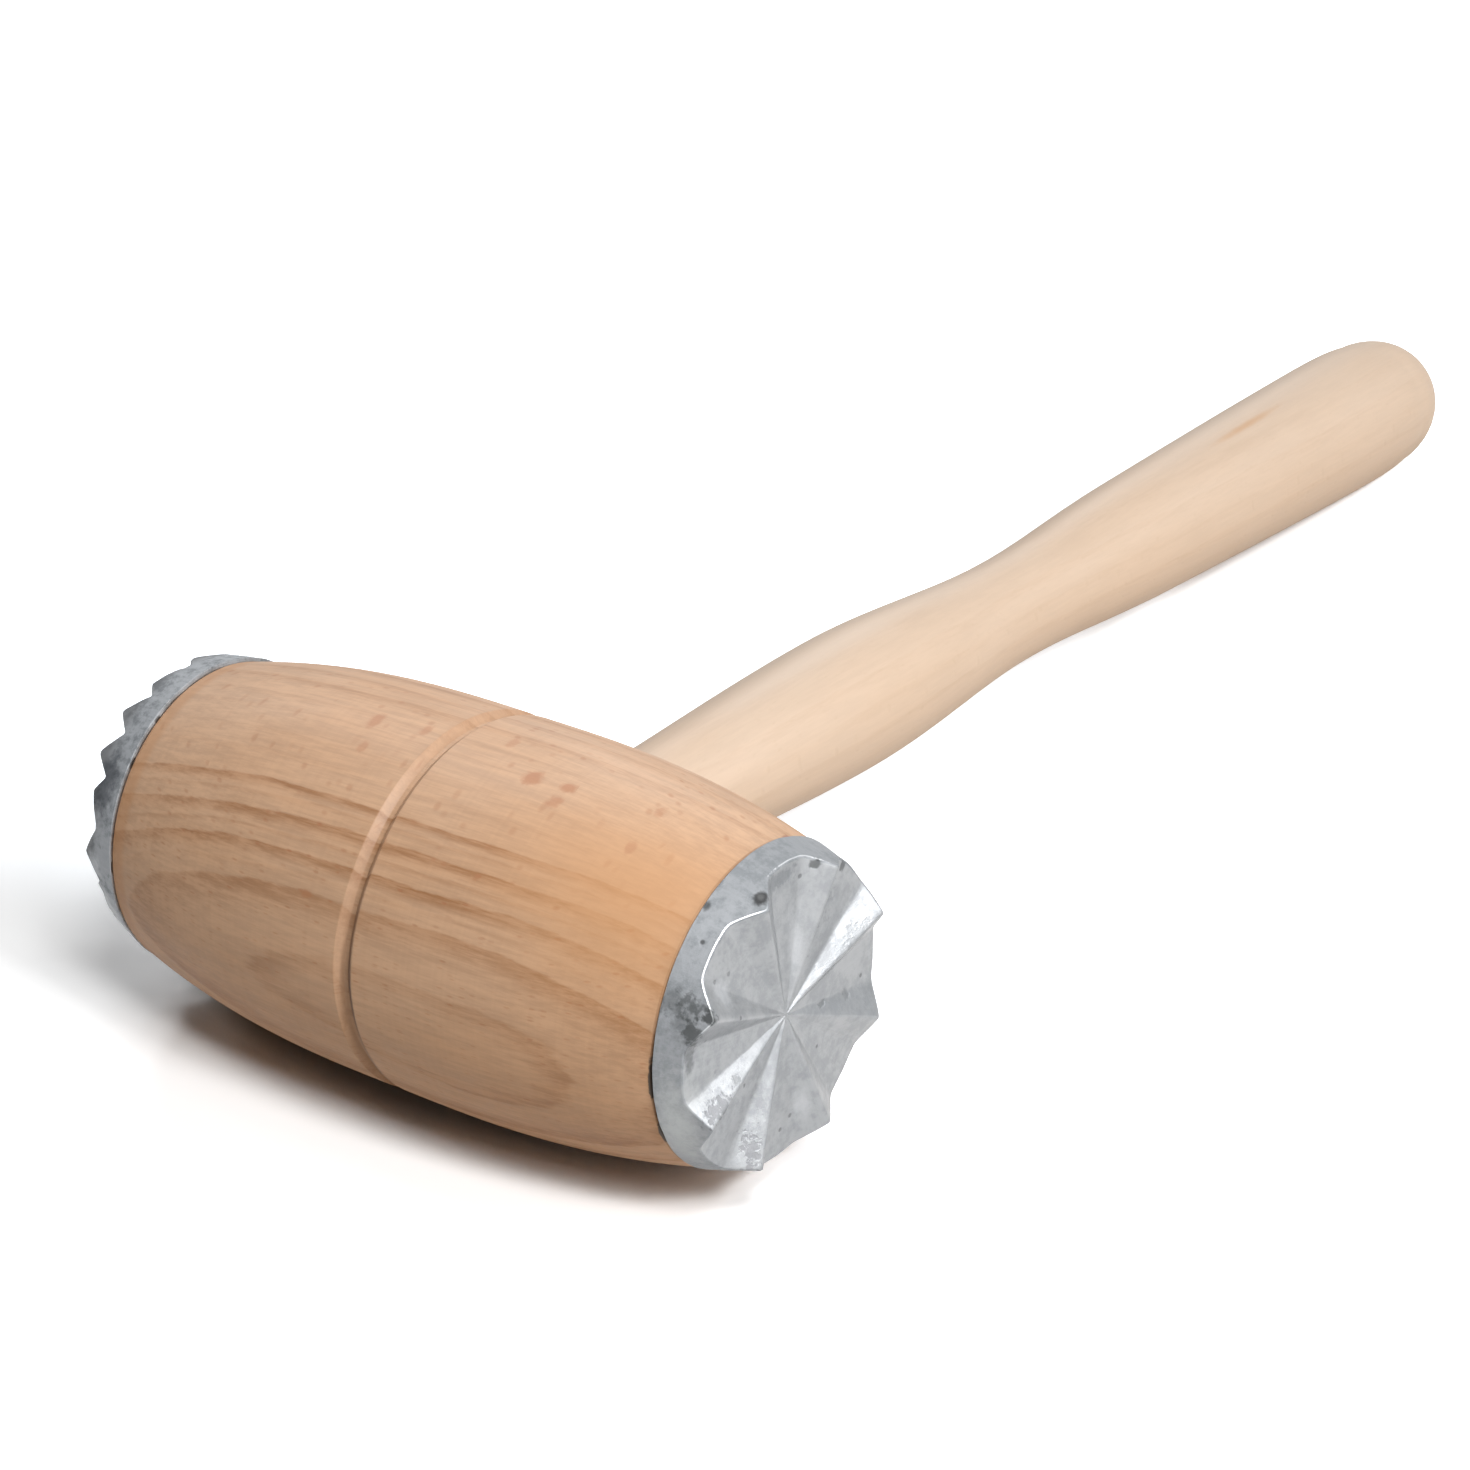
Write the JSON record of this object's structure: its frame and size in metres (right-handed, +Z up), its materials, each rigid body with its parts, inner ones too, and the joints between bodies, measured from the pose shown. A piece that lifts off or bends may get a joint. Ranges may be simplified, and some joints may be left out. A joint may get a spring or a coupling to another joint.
{
  "type": "meat tenderizer",
  "caption": "Two-faced hand mallet for tenderizing meat: turned wooden barrel head, ridged star cap, toothed cap and a waisted wooden handle.",
  "frame": {"origin": "on the surface the mallet lies on, under the middle of its outer box", "axes": "+X along the barrel towards the star cap, +Y along the handle from the head towards the butt as seen from above, +Z up from the surface that the belly and the butt rest on"},
  "size_m": [0.11, 0.3082, 0.0549],
  "materials": {
    "head_beech": "turned and sanded beech, lightly oiled, warm pinkish brown with growth-ring figure and short flecks, satin",
    "handle_beech": "turned and sanded pale beech, bare, fine straight grain along the handle, matt to satin",
    "cast_aluminium": "sand-cast aluminium with a turned skirt, fine file marks, small pits and dull grey patches"
  },
  "bodies": {
    "root": {"head_barrel": "head_beech", "star_cap": "cast_aluminium", "tooth_cap": "cast_aluminium", "handle": "handle_beech"}
  },
  "joints": []
}
